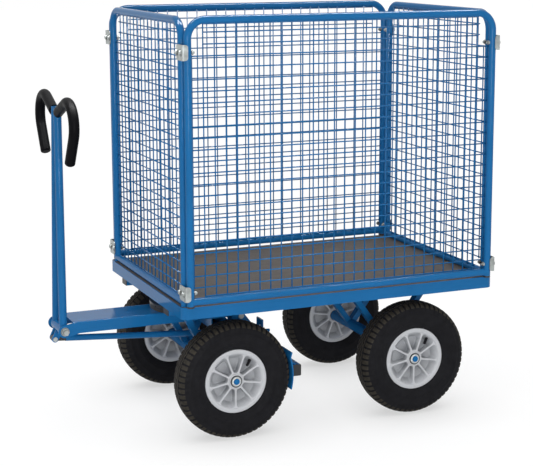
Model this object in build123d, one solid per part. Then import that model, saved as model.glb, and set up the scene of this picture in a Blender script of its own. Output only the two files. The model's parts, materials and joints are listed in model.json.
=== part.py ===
from build123d import *
import os
from math import acos, atan2, cos, hypot, radians, sin, sqrt, tan

# Driving sizes in millimetres: X runs to the rear from the deck centre, Z = 0 is the ground

tyre_diameter = 400
tyre_width = 100
rim_diameter = 200
wheel_track = 656
deck_length = 1164
deck_width = 810
front_axle_inset = 200
rear_axle_inset = 289
side_panel_height = 928.8
end_panel_height = 926
tube_diameter = 25
pivot_ahead = 304
handle_length = 756

# Clearances

run_fit = 0.05
side_gap = 0.3
board_gap = 0.5
axle_gap = 1.0
tyre_clearance = 4

# Deck frame, board, beams and cross members

frame_height = 40
frame_wall = 3
frame_corner = 25
ledge_width = 30
board_thick = 18
beam_width = 50
beam_height = 20
beam_wall = 2.5
beam_corner = 3
beam_inset = 170
plug_head = 2
plug_depth = 12
bearer_width = 40
bearer_count = 4
bearer_inset = 142
cross_height = 16
cross_width = 60
cross_overhang = 8
outer_cross_offset = 125

deck_x = deck_length / 2
deck_y = deck_width / 2
front_axle_x = front_axle_inset - deck_x
rear_axle_x = deck_x - rear_axle_inset
cross_bottom = tyre_diameter + tyre_clearance
beam_bottom = cross_bottom + cross_height
frame_bottom = beam_bottom + beam_height
deck_top = frame_bottom + frame_height
board_bottom = deck_top - board_thick
beam_y = deck_y - beam_inset

# Side and end panels of bent tube with welded wire mesh

tube_r = tube_diameter / 2
tube_wall = 2
panel_bend = 60
side_leg_inset = 27.5
side_overhang = 3
side_rail_rise = 19.4
end_leg_inset = 32
end_inset = 20
socket_wall = 3
socket_fit = 0.2
socket_floor = 3
leg_plug_head = 6
leg_plug_depth = 14
wire = 4
mesh_inset = 8
side_pitch = 38.4
end_pitch = 39.6
column_gap = 4.3
row_pitch = 37.5
row_drop = 40
row_rise = 40
border_rise = 4.2
notch_rows = 2

side_leg_x = deck_x - side_leg_inset
side_plane_y = deck_y + side_overhang
side_panel_top = deck_top + side_panel_height
side_panel_bottom = deck_top + side_rail_rise
end_leg_y = deck_y - end_leg_inset
end_plane_x = deck_x - end_inset
end_panel_top = deck_top + end_panel_height
end_panel_bottom = deck_top + tube_r

# Corner clips

clip_height = 50
clip_thick = 3
clip_side = 20
clip_past_leg = 6
clip_corner = 5
clip_round = 10
low_clip_rise = 48
high_clip_drop = 102.3
clip_bolt_r = 4
clip_washer_r = 11
clip_washer = 2
clip_head_r = 8
clip_head = 5
clip_dome = 4
clip_spacer_r = 7
clip_nut_r = 7.5
clip_nut = 6.5
clip_bolt_tail = 4

clip_levels = (deck_top + low_clip_rise, side_panel_top - high_clip_drop)

# Wheels: rim profile, tyre profile, bearings

wheel_r = tyre_diameter / 2
wheel_y = wheel_track / 2
tyre_half = tyre_width / 2
rim_seat_r = rim_diameter / 2
flange_lip = 10
flange_half = 38
flange_thick = 5
rim_wall = 7
pocket_slope = 18
web_half = 12
hub_r = 25
hub_half = 40
pocket_count = 9
pocket_turn = 290
pocket_round = 8
pocket_root = 4
rib_foot = 8
rib_edge = 5
face_drop = 2
bearing_r = 21
bearing_width = 12
bearing_inset = 3
hub_bore_r = 18
bead_lip = 1
bead_width = 10
neck_rise = 14
neck_in = 6
bulge_shift = 3
shoulder_drop = 18
shoulder_in = 4
crown_drop = 6
crown_in = 13
tread_half = 24
side_thick = 12
tread_thick = 12
groove_width = 3
groove_depth = 6
outer_groove = 20
inner_groove = 6.8
valve_r = 4.5
valve_length = 33
valve_turn = 50
valve_lean = 25

flange_r = rim_seat_r + flange_lip
pocket_r = rim_seat_r - rim_wall
floor_r = pocket_r - pocket_slope

# Axles and V struts

axle_r = 20
spindle_r = 10
spindle_tail = 6
axle_washer_r = 17
axle_washer = 3
strut_bar = 20
strut_depth = 30
rear_strut_y = 155
rear_strut_spread = 148
front_strut_y = 130
front_strut_spread = 95

# Turntable

table_out = 172
table_thick = 9
wear_thick = 4
kingpin_r = 12
kingpin_head_r = 19
kingpin_head = 12
kingpin_nut_r = 20
kingpin_nut = 18
kingpin_washer_r = 22
kingpin_washer = 4
kingpin_tail = 4

boss_r = kingpin_r + run_fit + kingpin_head / 2
table_in = boss_r + board_gap
upper_plate_bottom = cross_bottom - table_thick
lower_plate_top = upper_plate_bottom - run_fit - wear_thick
drawbar_top = lower_plate_top - table_thick

# Drawbar and handle

drawbar_width = 143
drawbar_height = 40
drawbar_plate = 4
drawbar_fold = 6
drawbar_tail = 142
lug_reach = 29
pivot_drop = 30
lug_r = 22
bolster_width = 50
bolster_half = 200
bolt_r = 8
bolt_washer_r = 15
bolt_washer = 2.5
bolt_head_r = 13
bolt_head = 10
bolt_tail = 5
crossbar_r = 17
handle_r = 13.5
handle_wall = 2
handle_base_y = 47.5
handle_lean = 10
handle_cap = 4
hook_rod_r = 9
grip_r = 17.5
hook_centre_y = 150
hook_drop = 45
hook_radius = 73.5
hook_start_turn = 112
hook_end_turn = -32
hook_tail = 96
hook_inner_y = 25
grip_start_y = 29
grip_cap = 8
grip_round = 6

pivot_x = -deck_x - pivot_ahead
pivot_z = drawbar_top - pivot_drop
handle_top = pivot_z + handle_length
hook_centre_z = handle_top - hook_drop
drawbar_half = drawbar_width / 2
drawbar_front_x = pivot_x + lug_reach
drawbar_rear_x = front_axle_x + drawbar_tail

# Brake lever, rod, beam, hangers and shoes

lever_reach = 43
lever_turn = 29
lever_plate = 6
lever_inner = 12
lever_root_r = 14
lever_tip_r = 11
lever_pin_r = 5
lever_pin_head_r = 8
lever_pin_head = 3
rod_end_half = 11.5
rod_end_r = 11
rod_neck = 40
rod_r = 11
rod_stud_r = 6
stud_reach = 89.5
rod_nut_r = 11
rod_nut = 10
rod_washer_r = 14
rod_washer = 2.5
rod_stud_tail = 20
hanger_behind = 120
hanger_drop = 30
hanger_lug_gap = 22.5
hanger_lug = 6
hanger_bar = 8
hanger_bar_half = 14
hanger_pin_r = 6
hanger_pin_head_r = 10
hanger_pin_head = 4
brake_beam_wide = 35
brake_beam_high = 40
brake_beam_wall = 2.5
brake_beam_corner = 4
beam_short = 1
beam_cap = 3
rod_plate = 6
rod_plate_half = 26
rod_plate_rim = 22
rod_slot_rise = 38.3
rod_slot_half = 8
rod_slot_low = 16
rod_slot_high = 24
shoe_gap = 3
shoe_thick = 4
shoe_width = 90
shoe_below = 14.5
shoe_above = 16
shoe_tip = 16
shoe_tip_turn = 32
shoe_bend = 12
shoe_standoff = 12
shoe_block_half = 15
gusset_in = 6
gusset_thick = 6

hanger_x = front_axle_x + hanger_behind
hanger_z = drawbar_top - hanger_drop
hanger_lug_y = drawbar_half + hanger_lug_gap
shoe_in = wheel_r + shoe_gap
shoe_out = shoe_in + shoe_thick
beam_x0 = front_axle_x + shoe_out + shoe_standoff
beam_x1 = beam_x0 + brake_beam_wide
brake_beam_x = (beam_x0 + beam_x1) / 2
beam_z0 = wheel_r - brake_beam_high / 2
beam_z1 = wheel_r + brake_beam_high / 2
brake_beam_half = wheel_y - beam_short
slot_z = beam_z1 + rod_slot_rise

# The finished part is moved so that its box is centred over the origin

pin_x = pivot_x - lever_reach * sin(radians(lever_turn))
pin_z = pivot_z - lever_reach * cos(radians(lever_turn))
clip_face_x = end_plane_x + tube_r + clip_thick
front_reach = -(pin_x - max(rod_end_r, lever_tip_r))
rear_reach = clip_face_x + clip_washer + clip_head
shift_x = (front_reach - rear_reach) / 2
rod_slope = (pin_z - slot_z) / (brake_beam_x - pin_x)

os.makedirs("parts", exist_ok=True)


def save(node, *shapes):
    solids = []
    for shape in shapes:
        solids.extend(shape.solids())
    moved = [Pos(shift_x, 0, 0) * solid for solid in solids]
    export_step(moved[0] if len(moved) == 1 else Compound(moved), f"parts/{node}.step")


def block(x0, x1, y0, y1, z0, z1):
    box = Box(abs(x1 - x0), abs(y1 - y0), abs(z1 - z0))
    return Pos((x0 + x1) / 2, (y0 + y1) / 2, (z0 + z1) / 2) * box


def rounded_block(axis, corner, x0, x1, y0, y1, z0, z1):
    # Block whose long edges along one axis are rounded, as a rolled box tube is
    square = block(x0, x1, y0, y1, z0, z1)
    return fillet(square.edges().filter_by(axis), corner)


def bar_y(x, z, y0, y1, r):
    return Pos(x, (y0 + y1) / 2, z) * Rot(90, 0, 0) * Cylinder(r, abs(y1 - y0))


def bar_x(y, z, x0, x1, r):
    return Pos((x0 + x1) / 2, y, z) * Rot(0, 90, 0) * Cylinder(r, abs(x1 - x0))


def bar_z(x, y, z0, z1, r):
    return Pos(x, y, (z0 + z1) / 2) * Cylinder(r, abs(z1 - z0))


def hexagon_y(x, z, y0, y1, r):
    prism = extrude(RegularPolygon(r, 6), amount=abs(y1 - y0) / 2, both=True)
    return Pos(x, (y0 + y1) / 2, z) * Rot(90, 0, 0) * prism


def hexagon_x(y, z, x0, x1, r):
    prism = extrude(RegularPolygon(r, 6), amount=abs(x1 - x0) / 2, both=True)
    return Pos((x0 + x1) / 2, y, z) * Rot(0, 90, 0) * prism


def hexagon_z(x, y, z0, z1, r):
    return Pos(x, y, min(z0, z1)) * extrude(RegularPolygon(r, 6), amount=abs(z1 - z0))


def plate_xz(points, y0, y1):
    outline = Polyline(*[(x, min(y0, y1), z) for x, z in points], close=True)
    return extrude(make_face(outline), amount=abs(y1 - y0), dir=(0, 1, 0))


def link_xz(p, rp, q, rq, y0, y1):
    # Flat link round two centres: two discs and the quadrilateral between their tangent points
    span = hypot(q[0] - p[0], q[1] - p[1])
    along = atan2(q[1] - p[1], q[0] - p[0])
    side = acos((rp - rq) / span)
    corners = []
    for centre, r, turn in ((p, rp, side), (q, rq, side), (q, rq, -side), (p, rp, -side)):
        corners.append((centre[0] + r * cos(along + turn), centre[1] + r * sin(along + turn)))
    web = plate_xz(corners, y0, y1)
    return web + bar_y(p[0], p[1], y0, y1, rp) + bar_y(q[0], q[1], y0, y1, rq)


def both_sides(shape):
    return [shape, shape.mirror(Plane.XZ)]


def both_ends(shapes):
    return list(shapes) + [shape.mirror(Plane.YZ) for shape in shapes]


# Deck frame: rounded upright band with an inner ledge and four leg sockets


def rounded_ring(length, width, corner, wall, z0, z1):
    outer = RectangleRounded(length, width, corner)
    inner = RectangleRounded(length - 2 * wall, width - 2 * wall, max(corner - wall, 1))
    return Pos(0, 0, z0) * extrude(outer - inner, amount=z1 - z0)


socket_r = tube_r + socket_fit + socket_wall
socket_bottom = frame_bottom + frame_wall
leg_bottom = socket_bottom + socket_floor
corner_signs = [(sx, sy) for sx in (-1, 1) for sy in (-1, 1)]

band = rounded_ring(deck_length, deck_width, frame_corner, frame_wall, frame_bottom, deck_top)
ledge = rounded_ring(
    deck_length - frame_wall,
    deck_width - frame_wall,
    frame_corner - frame_wall / 2,
    ledge_width + frame_wall / 2,
    board_bottom - frame_wall,
    board_bottom,
)
deck_frame = band + ledge
for sx, sy in corner_signs:
    deck_frame += bar_z(sx * end_plane_x, sy * end_leg_y, socket_bottom, deck_top, socket_r)
for sx, sy in corner_signs:
    deck_frame -= bar_z(sx * end_plane_x, sy * end_leg_y, leg_bottom, deck_top + 1, tube_r + socket_fit)
save("deck_frame", deck_frame)

board_inset = frame_wall + board_gap
board_length = deck_length - 2 * board_inset
board_width = deck_width - 2 * board_inset
board_face = RectangleRounded(board_length, board_width, frame_corner - board_inset)
deck_board = Pos(0, 0, board_bottom) * extrude(board_face, amount=board_thick)
for sx, sy in corner_signs:
    hole = bar_z(sx * end_plane_x, sy * end_leg_y, board_bottom - 1, deck_top + 1, socket_r + side_gap)
    deck_board -= hole
save("deck_board", deck_board)

# Long beams of flat tube under the frame, closed by black plugs

beam_end = deck_x - plug_head
beam_in = beam_y - beam_width / 2
beam_out = beam_y + beam_width / 2
beam = rounded_block(Axis.X, beam_corner, -beam_end, beam_end, beam_in, beam_out, beam_bottom, frame_bottom)
beam_hollow_y = beam_width / 2 - beam_wall
beam_hollow = block(
    -deck_x,
    deck_x,
    beam_y - beam_hollow_y,
    beam_y + beam_hollow_y,
    beam_bottom + beam_wall,
    frame_bottom - beam_wall,
)
save("deck_beams", *both_sides(beam - beam_hollow))

plug_cap = rounded_block(Axis.X, beam_corner, beam_end, deck_x, beam_in, beam_out, beam_bottom, frame_bottom)
plug_stem = block(
    beam_end - plug_depth,
    beam_end,
    beam_y - beam_hollow_y,
    beam_y + beam_hollow_y,
    beam_bottom + beam_wall,
    frame_bottom - beam_wall,
)
tube_plugs = both_ends(both_sides(plug_cap + plug_stem))

# Bearers carry the board on the beams; cross members hang below them

bearer_half = deck_y - frame_wall - ledge_width
bearer_reach = deck_x - bearer_inset
bearers = []
for k in range(bearer_count):
    x = bearer_reach * (2 * k / (bearer_count - 1) - 1)
    bearer = block(
        x - bearer_width / 2, x + bearer_width / 2, -bearer_half, bearer_half, frame_bottom, board_bottom
    )
    hollow = block(
        x - bearer_width / 2 + beam_wall,
        x + bearer_width / 2 - beam_wall,
        -bearer_half,
        bearer_half,
        frame_bottom + beam_wall,
        board_bottom - beam_wall,
    )
    bearers.append(bearer - hollow)
save("deck_bearers", *bearers)

cross_xs = [front_axle_x, front_axle_x - outer_cross_offset, front_axle_x + outer_cross_offset]
cross_xs += [rear_axle_x - rear_strut_spread, rear_axle_x + rear_strut_spread]
cross_half = beam_out + cross_overhang
cross_members = []
for x in cross_xs:
    cross_x = cross_width / 2
    cross = block(x - cross_x, x + cross_x, -cross_half, cross_half, cross_bottom, beam_bottom)
    if x == front_axle_x:
        cross -= bar_z(x, 0, cross_bottom - 1, beam_bottom + 1, kingpin_r)
    cross_members.append(cross)
save("cross_members", *cross_members)

# Panel frames: an arch of bent tube with a straight lower tube welded between its legs


def panel_frame(place, half, top, bottom, foot):
    path = place * FilletPolyline((-half, foot), (-half, top), (half, top), (half, foot), radius=panel_bend)
    rail = place * Line((-half, bottom), (half, bottom))
    frames = []
    for r in (tube_r, tube_r - tube_wall):
        arch = sweep(Plane(origin=path @ 0, z_dir=path % 0) * Circle(r), path=path)
        lower = sweep(Plane(origin=rail @ 0, z_dir=rail % 0) * Circle(r), path=rail)
        frames.append(arch + lower)
    return frames[0] - frames[1]


def mesh(place, half, top, bottom, nominal_pitch):
    # Upright wires lie one wire inside the cross wires; both end on the tube
    upright_n = mesh_inset + wire / 2
    cross_n = mesh_inset - wire / 2
    upright_end = sqrt(tube_r**2 - mesh_inset**2)
    cross_end = half - sqrt(tube_r**2 - (mesh_inset - wire) ** 2)
    edge = half - tube_r - column_gap
    columns = round(2 * edge / nominal_pitch)
    pitch = 2 * edge / columns
    row_count = 1 + int((top - row_drop - bottom - row_rise) / row_pitch)
    rows = [top - row_drop - k * row_pitch for k in range(row_count)]
    section = RegularPolygon(wire / 2, 6, major_radius=False)
    wires = []
    for k in range(columns + 1):
        u = -edge + k * pitch
        outermost = k in (0, columns)
        low = rows[-1] - wire / 2 if outermost else bottom + upright_end
        past_bend = max(0, abs(u) + wire - (half - panel_bend))
        bend_drop = panel_bend - sqrt(max(0, panel_bend**2 - past_bend**2))
        high = rows[notch_rows] + wire / 2 if outermost else top - upright_end - bend_drop
        prism = Rot(-90, 0, 0) * extrude(section, amount=high - low)
        wires.append(place * Pos(u, low, upright_n) * prism)
    levels = [(z, cross_end) for z in rows[notch_rows:]]
    levels += [(z, edge - pitch + wire / 2) for z in rows[:notch_rows]]
    levels += [(top - upright_end - border_rise, edge - pitch + wire / 2)]
    levels += [(bottom + upright_end + border_rise, edge - pitch + wire / 2)]
    for z, reach in levels:
        prism = Rot(0, 90, 0) * extrude(Rot(0, 0, 90) * section, amount=2 * reach)
        wires.append(place * Pos(-reach, z, cross_n) * prism)
    return wires


side_foot = deck_top + leg_plug_head
place_left = Plane(origin=(0, -side_plane_y, 0), x_dir=(-1, 0, 0), z_dir=(0, 1, 0))
place_right = Plane(origin=(0, side_plane_y, 0), x_dir=(1, 0, 0), z_dir=(0, -1, 0))
place_front = Plane(origin=(-end_plane_x, 0, 0), x_dir=(0, 1, 0), z_dir=(1, 0, 0))
place_rear = Plane(origin=(end_plane_x, 0, 0), x_dir=(0, -1, 0), z_dir=(-1, 0, 0))
for name, side, place in (("left", -1, place_left), ("right", 1, place_right)):
    frame = panel_frame(place, side_leg_x, side_panel_top, side_panel_bottom, side_foot)
    for z in clip_levels:
        frame -= bar_x(side * side_plane_y, z, -deck_x, deck_x, clip_bolt_r)
    save(f"panel_{name}", frame)
    wires = mesh(place, side_leg_x, side_panel_top, side_panel_bottom, side_pitch)
    save(f"mesh_{name}", *wires)
for name, end, place in (("front", -1, place_front), ("rear", 1, place_rear)):
    frame = panel_frame(place, end_leg_y, end_panel_top, end_panel_bottom, leg_bottom)
    for z in clip_levels:
        for y in (-end_leg_y, end_leg_y):
            frame -= bar_x(y, z, 0, end * (end_plane_x + tube_diameter), clip_bolt_r)
    save(f"panel_{name}", frame)
    wires = mesh(place, end_leg_y, end_panel_top, end_panel_bottom, end_pitch)
    save(f"mesh_{name}", *wires)

for sx, sy in corner_signs:
    head = bar_z(sx * side_leg_x, sy * side_plane_y, deck_top, side_foot, tube_r)
    stem_top = side_foot + leg_plug_depth
    stem = bar_z(sx * side_leg_x, sy * side_plane_y, side_foot, stem_top, tube_r - tube_wall)
    tube_plugs.append(head + stem)
save("tube_plugs", *tube_plugs)

# Corner clips: an angle outside each pair of legs, a bolt with washer and nut through either leg

clip_inner_y = end_leg_y - clip_past_leg
clip_outer_y = side_plane_y + tube_r + clip_thick
clip_back_x = clip_face_x - clip_thick
washer_x = clip_face_x + clip_washer
clips = []
clip_bolts = []
clip_backs = []
for z in clip_levels:
    z0 = z - clip_height / 2
    z1 = z + clip_height / 2
    face = block(clip_back_x, clip_face_x, clip_inner_y, clip_outer_y, z0, z1)
    turn = block(clip_face_x - clip_side, clip_face_x, clip_outer_y - clip_thick, clip_outer_y, z0, z1)
    clip = face + turn
    clip = fillet(clip.edges().filter_by(Axis.X).sort_by(Axis.Y)[:2], clip_round)
    clip = fillet(clip.edges().filter_by(Axis.Y).sort_by(Axis.X)[:2], clip_round)
    clip = fillet(clip.edges().filter_by(Axis.Z).sort_by(Axis((0, 0, 0), (1, 1, 0)))[-1], clip_corner)
    for leg_x, leg_y in ((end_plane_x, end_leg_y), (side_leg_x, side_plane_y)):
        leg = bar_z(leg_x, leg_y, z0, z1, tube_r)
        nut_in = leg_x - tube_r - clip_nut
        shank = bar_x(leg_y, z, nut_in - clip_bolt_tail, clip_face_x, clip_bolt_r)
        washer = bar_x(leg_y, z, clip_face_x, washer_x, clip_washer_r)
        head = bar_x(leg_y, z, washer_x, washer_x + clip_head, clip_head_r)
        head = fillet(head.edges().sort_by(Axis.X)[-1], clip_dome)
        clip_bolts.append(shank + washer + head)
        clip_backs.append(hexagon_x(leg_y, z, nut_in, leg_x - tube_r, clip_nut_r) - shank)
        clip -= shank
        if leg_x + tube_r < clip_back_x:
            spacer = bar_x(leg_y, z, leg_x, clip_back_x, clip_spacer_r)
            clip_backs.append(spacer - leg - shank)
    clips.append(clip)
for node, shapes in (("corner_clips", clips), ("clip_bolts", clip_bolts), ("clip_backs", clip_backs)):
    right = both_ends(shapes)
    save(node, *(right + [shape.mirror(Plane.XZ) for shape in right]))

# Wheels: each is drawn on the Z axis and laid over so that its outer face points sideways

seat_half = flange_half - flange_thick
face_half = flange_half - face_drop
bearing_out = hub_half - bearing_inset
bearing_in = bearing_out - bearing_width
half_rim = [
    (hub_bore_r, bearing_in),
    (bearing_r, bearing_in),
    (bearing_r, hub_half),
    (hub_r, hub_half),
    (hub_r, face_half),
    (pocket_r, face_half),
    (pocket_r, flange_half),
    (flange_r, flange_half),
    (flange_r, seat_half),
    (rim_seat_r, seat_half),
]


def turned(points):
    outline = Polyline(*[(r, 0, w) for r, w in points], close=True)
    return revolve(make_face(outline), Axis.Z)


def pocket_face(outer_r, rib, height):
    # Sector between two ribs, its sides parallel to them, its corners rounded
    half_turn = radians(180 / pocket_count)
    inner_r = hub_r + pocket_root
    ends = []
    for r in (inner_r, outer_r):
        along = sqrt(r**2 - (rib / 2) ** 2)
        x = along * cos(half_turn) + rib / 2 * sin(half_turn)
        ends.append((x, along * sin(half_turn) - rib / 2 * cos(half_turn)))
    (x0, y0), (x1, y1) = ends
    outline = [
        Line((x0, -y0), (x1, -y1)),
        ThreePointArc((x1, -y1), (outer_r, 0), (x1, y1)),
        Line((x1, y1), (x0, y0)),
        ThreePointArc((x0, y0), (inner_r, 0), (x0, -y0)),
    ]
    face = make_face(outline)
    face = fillet(face.vertices().sort_by(Axis.X)[:2], pocket_root)
    return Pos(0, 0, height) * fillet(face.vertices().sort_by(Axis.X)[-2:], pocket_round)


rim = turned(half_rim + [(r, -w) for r, w in reversed(half_rim)])
pocket_floor = pocket_face(floor_r, rib_foot, web_half)
pocket_mouth = pocket_face(pocket_r, rib_edge, face_half)
pocket = loft([pocket_floor, pocket_mouth], ruled=True)
pockets = []
for k in range(pocket_count):
    turned_pocket = Rot(0, 0, pocket_turn + k * 360 / pocket_count) * pocket
    pockets += [turned_pocket, turned_pocket.mirror(Plane.XY)]
rim = rim.cut(*[solid for shape in pockets for solid in shape.solids()])

# Tyre: half a section with rounded side wall, crown and tread grooves, turned and mirrored

bead = (rim_seat_r, seat_half)
lip = (flange_r + bead_lip, seat_half)
neck = (flange_r + neck_rise, tyre_half - neck_in)
shoulder = (wheel_r - shoulder_drop, tyre_half - shoulder_in)
bulge_r = (neck[0] + shoulder[0]) / 2 + bulge_shift
crown = (wheel_r - crown_drop, tyre_half - crown_in)
tread = [(wheel_r, tread_half)]
for w in (outer_groove, inner_groove):
    for reach in (groove_width / 2, -groove_width / 2):
        lip_point = (wheel_r, w + reach)
        floor_point = (wheel_r - groove_depth, w + reach)
        tread += [lip_point, floor_point] if reach > 0 else [floor_point, lip_point]
tread += [(wheel_r, 0), (wheel_r - tread_thick, 0), (wheel_r - tread_thick, tread_half)]
inner_bead = (rim_seat_r, seat_half - bead_width)
section = [
    Line(bead, lip),
    Line(lip, neck),
    ThreePointArc(neck, (bulge_r, tyre_half), shoulder),
    ThreePointArc(shoulder, crown, tread[0]),
    Polyline(*tread),
    ThreePointArc(tread[-1], (bulge_r, tyre_half - side_thick), inner_bead),
    Line(inner_bead, bead),
]
half_tyre = revolve(Plane.XZ * make_face(section), Axis.Z)
tyre = half_tyre + half_tyre.mirror(Plane.XY)
valve_root = Vector(pocket_r, 0, (web_half + flange_half) / 2 - valve_r)
valve_line = Vector(-cos(radians(valve_lean)), 0, sin(radians(valve_lean)))
stem_place = Plane(origin=valve_root, z_dir=valve_line)
stem = stem_place * Cylinder(valve_r, valve_length, align=(Align.CENTER, Align.CENTER, Align.MIN))
valve = Rot(0, 0, valve_turn) * stem - rim
bearings = []
for side in (-1, 1):
    middle = side * (bearing_in + bearing_out) / 2
    ring = Cylinder(bearing_r, bearing_width) - Cylinder(spindle_r + run_fit, bearing_width)
    bearings.append(Pos(0, 0, middle) * ring)
for end, x in (("front", front_axle_x), ("rear", rear_axle_x)):
    for side, y, turn in (("left", -wheel_y, 90), ("right", wheel_y, -90)):
        lay = Pos(x, y, wheel_r) * Rot(turn, 0, 0)
        save(f"tyre_{end}_{side}", lay * tyre, lay * valve)
        save(f"rim_{end}_{side}", lay * rim)
        save(f"bearings_{end}_{side}", *[lay * ring for ring in bearings])

# Axles: a tube with a spindle set into each end, a washer outside each bearing

axle_half = wheel_y - hub_half - axle_gap
axle_bore = axle_r - tube_wall
washer_in = wheel_y + bearing_out + side_gap


def axle(x):
    tube = bar_y(x, wheel_r, -axle_half, axle_half, axle_r)
    tube -= bar_y(x, wheel_r, -axle_half, axle_half, axle_bore)
    spindle = bar_y(x, wheel_r, axle_half - hub_half, wheel_y + hub_half + spindle_tail, spindle_r)
    spindle += bar_y(x, wheel_r, axle_half - hub_half, axle_half, axle_bore)
    return [tube] + both_sides(spindle)


def axle_washers(x):
    ring = bar_y(x, wheel_r, washer_in, washer_in + axle_washer, axle_washer_r)
    return both_sides(ring - bar_y(x, wheel_r, washer_in, washer_in + axle_washer, spindle_r))


def v_strut(x, y, spread, top):
    # Two flat bars lean apart from the axle and are cut level under what they carry
    rise = top - wheel_r
    step = strut_bar / 2 * hypot(spread, rise) / rise
    legs = []
    for side in (-1, 1):
        foot = [(x - step, wheel_r), (x + step, wheel_r)]
        head = [(x + side * spread + step, top), (x + side * spread - step, top)]
        legs.append(plate_xz(foot + head, y - strut_depth / 2, y + strut_depth / 2))
    strut = legs[0] + legs[1]
    return strut - bar_y(x, wheel_r, y - strut_depth, y + strut_depth, axle_r)


save("rear_axle", *axle(rear_axle_x))
save("rear_washers", *axle_washers(rear_axle_x))
save("rear_struts", *both_sides(v_strut(rear_axle_x, rear_strut_y, rear_strut_spread, cross_bottom)))
save("front_axle", *axle(front_axle_x))
save("front_washers", *axle_washers(front_axle_x))
save("front_struts", *both_sides(v_strut(front_axle_x, front_strut_y, front_strut_spread, drawbar_top)))

# Turntable: two steel plates with a plastic wear plate between them, turning on the kingpin


def disc_z(z0, z1):
    outer = bar_z(front_axle_x, 0, z0, z1, table_out)
    return outer - bar_z(front_axle_x, 0, z0, z1, table_in)


save("upper_plate", disc_z(upper_plate_bottom, cross_bottom))
save("wear_plate", disc_z(lower_plate_top, lower_plate_top + wear_thick))
save("lower_plate", disc_z(drawbar_top, lower_plate_top))

boss_bottom = drawbar_top - drawbar_plate
king_washer_top = boss_bottom - side_gap
king_nut_top = king_washer_top - kingpin_washer
king_nut_bottom = king_nut_top - kingpin_nut
king_shank = bar_z(front_axle_x, 0, king_nut_bottom - kingpin_tail, beam_bottom, kingpin_r)
king_head = hexagon_z(front_axle_x, 0, beam_bottom, beam_bottom + kingpin_head, kingpin_head_r)
king_washer = bar_z(front_axle_x, 0, king_nut_top, king_washer_top, kingpin_washer_r) - king_shank
king_nut = hexagon_z(front_axle_x, 0, king_nut_bottom, king_nut_top, kingpin_nut_r) - king_shank
save("kingpin", king_shank + king_head, king_washer, king_nut)

# Drawbar: upturned channel whose flanges run forward as rounded lugs

flange_in = drawbar_half - drawbar_plate
drawbar_low = drawbar_top - drawbar_height
flange_nose = (drawbar_front_x + drawbar_height / 2, drawbar_top - drawbar_height / 2)
drawbar = block(
    drawbar_front_x, drawbar_rear_x, -drawbar_half, drawbar_half, drawbar_top - drawbar_plate, drawbar_top
)
flange = block(drawbar_front_x + lug_r / 2, drawbar_rear_x, flange_in, drawbar_half, drawbar_low, drawbar_top)
flange += link_xz((pivot_x, pivot_z), lug_r, flange_nose, drawbar_height / 2, flange_in, drawbar_half)
flange -= bar_y(pivot_x, pivot_z, flange_in - 1, drawbar_half + 1, bolt_r)
fold_y = drawbar_half - drawbar_fold
fold_z = drawbar_top - drawbar_fold
fold = block(drawbar_front_x, drawbar_rear_x, fold_y, drawbar_half, fold_z, drawbar_top)
fold -= bar_x(fold_y, fold_z, drawbar_front_x, drawbar_rear_x, drawbar_fold)
for side in both_sides(flange):
    drawbar += side
for side in both_sides(fold):
    drawbar -= side
drawbar += bar_z(front_axle_x, 0, boss_bottom, cross_bottom - side_gap, boss_r)
drawbar -= bar_z(front_axle_x, 0, boss_bottom - 1, cross_bottom, kingpin_r + run_fit)
save("drawbar", drawbar)

bolster_x = bolster_width / 2
bolster = block(
    front_axle_x - bolster_x, front_axle_x + bolster_x, drawbar_half, bolster_half, drawbar_low, drawbar_top
)
bolster -= block(
    front_axle_x - bolster_x + drawbar_plate,
    front_axle_x + bolster_x - drawbar_plate,
    drawbar_half,
    bolster_half,
    drawbar_low + drawbar_plate,
    drawbar_top - drawbar_plate,
)
save("front_bolster", *both_sides(bolster))

# Pivot bolt across the lugs, head on the right and nut on the left

washer_end = drawbar_half + bolt_washer
bolt_end = washer_end + bolt_head
shank = bar_y(pivot_x, pivot_z, -bolt_end - bolt_tail, washer_end, bolt_r)
bolt = shank + hexagon_y(pivot_x, pivot_z, washer_end, bolt_end, bolt_head_r)
washer = bar_y(pivot_x, pivot_z, drawbar_half, washer_end, bolt_washer_r)
washer -= bar_y(pivot_x, pivot_z, drawbar_half, washer_end, bolt_r)
nut = hexagon_y(pivot_x, pivot_z, -bolt_end, -washer_end, bolt_head_r) - shank
save("pivot_bolt", bolt, nut, *both_sides(washer))

# Handle: two tubes drawn together at the top, a crossbar below and two hooked grips

crossbar_half = flange_in - side_gap
crossbar_body = bar_y(pivot_x, pivot_z, -crossbar_half, crossbar_half, crossbar_r)
crossbar_bore = bar_y(pivot_x, pivot_z, -crossbar_half, crossbar_half, bolt_r + run_fit)
save("handle_crossbar", crossbar_body - crossbar_bore)


def on_hook(turn):
    angle = radians(turn)
    return (hook_centre_y + hook_radius * cos(angle), hook_centre_z + hook_radius * sin(angle))


hook_rise = -1 / tan(radians(hook_start_turn))
hook_from = on_hook(hook_start_turn)
hook_to = on_hook(hook_end_turn)
hook_over = on_hook((hook_start_turn + hook_end_turn) / 2)
tail_line = (sin(radians(hook_end_turn)), -cos(radians(hook_end_turn)))
inner_z = hook_from[1] - (hook_from[0] - hook_inner_y) * hook_rise
sag = hook_inner_y * tan(radians((hook_start_turn - 90) / 2))
hook_x = pivot_x + handle_lean * (inner_z - pivot_z) / handle_length
hook_place = Plane(origin=(hook_x, 0, 0), x_dir=(0, 1, 0), z_dir=(1, 0, 0))


def tail_point(reach):
    return (hook_to[0] + reach * tail_line[0], hook_to[1] + reach * tail_line[1])


def hook_side(start, reach):
    edges = [
        Line(start, hook_from),
        ThreePointArc(hook_from, hook_over, hook_to),
        Line(hook_to, tail_point(reach)),
    ]
    return [hook_place * edge for edge in edges]


def swept(edges, r):
    path = Wire(edges)
    return sweep(Plane(origin=path @ 0, z_dir=path % 0) * Circle(r), path=path)


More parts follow.
